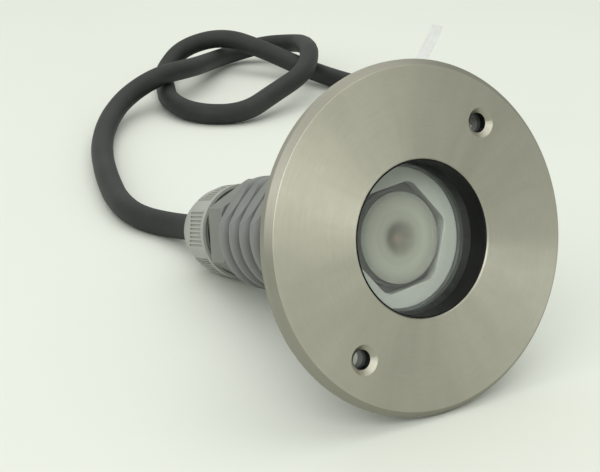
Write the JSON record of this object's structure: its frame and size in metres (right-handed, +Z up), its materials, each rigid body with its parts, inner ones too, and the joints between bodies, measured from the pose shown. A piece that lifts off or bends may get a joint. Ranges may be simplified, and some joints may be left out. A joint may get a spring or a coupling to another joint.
{
  "type": "underwater pond light",
  "caption": "Recessed underwater light: round bevelled steel faceplate, ribbed plastic housing with a glazed lens recess, hexagonal cable gland and knotted rubber cable.",
  "frame": {"origin": "middle of the lamp's own box (without the cable), on the surface it lies on", "axes": "+Y runs back from the faceplate towards the cable gland, +Z is up, +X is the lamp's right seen from the front; the lamp's axis tilts down to the rear"},
  "size_m": [0.2734, 0.4215, 0.1059],
  "materials": {
    "brushed_steel": "circular brushed stainless steel",
    "grey_plastic": "moulded grey plastic",
    "light_grey_plastic": "moulded light grey plastic",
    "black_plastic": "black plastic",
    "dark_plastic": "dark plastic",
    "white_plastic": "off-white plastic",
    "window_glass": "clear toughened glass",
    "frosted_lens": "frosted clear plastic",
    "black_rubber": "black rubber",
    "cable_rubber": "matte black cable sheath",
    "aluminium": "machined aluminium",
    "zinc_steel": "zinc plated steel",
    "white_board": "white solder resist",
    "green_board": "green solder resist",
    "led_package": "moulded package with phosphor",
    "pad_grey": "soft silicone pad",
    "ferrite": "ferrite",
    "capacitor_sleeve": "shrink sleeve",
    "terminal_plastic": "green plastic",
    "brown_insulation": "brown core insulation",
    "blue_insulation": "blue core insulation",
    "red_insulation": "red wire insulation",
    "tinned_copper": "tinned copper",
    "paper": "white paper label"
  },
  "bodies": {
    "lamp": {"faceplate": "brushed_steel", "plate_gasket": "black_rubber", "housing": "grey_plastic", "bezel_ring": "black_plastic", "window_glass": "window_glass", "window_seal": "black_rubber", "hex_ring": "white_plastic", "lens": "frosted_lens", "lens_carrier": "dark_plastic", "led_chip": "led_package", "led_board": "white_board", "board_screws": "zinc_steel", "thermal_pad": "pad_grey", "heat_sink": "aluminium", "driver_board": "green_board", "inductor": "ferrite", "capacitor": "capacitor_sleeve", "controller_chip": "black_plastic", "terminal_block": "terminal_plastic", "brown_core_inside": "brown_insulation", "blue_core_inside": "blue_insulation", "gland_washer": "black_rubber", "gland_body": "grey_plastic", "clamp_cage": "light_grey_plastic", "sealing_insert": "black_rubber", "cable_end": "cable_rubber", "red_led_wire": "red_insulation", "black_led_wire": "black_plastic", "cable": "cable_rubber", "brown_core_tail": "brown_insulation", "blue_core_tail": "blue_insulation", "core_ferrules": "tinned_copper", "cable_tag": "paper"},
    "thrust_washer": {"thrust_washer": "white_plastic"},
    "dome_nut": {"dome_nut": "light_grey_plastic"}
  },
  "joints": [
    {"name": "nut_advance", "type": "slide", "parent": "lamp", "child": "thrust_washer", "axis": [0, 0.9568, -0.2909], "range_m": [0, 0.006]},
    {"name": "nut_turn", "type": "hinge", "parent": "thrust_washer", "child": "dome_nut", "pos_m": [0, 0.05883, 0.01748], "axis": [0, 0.9568, -0.2909], "range_deg": [0, 1440]}
  ],
  "couplings": [
    {"joint": "nut_advance", "follows": "nut_turn", "m_per_rad": 0.00023873}
  ]
}
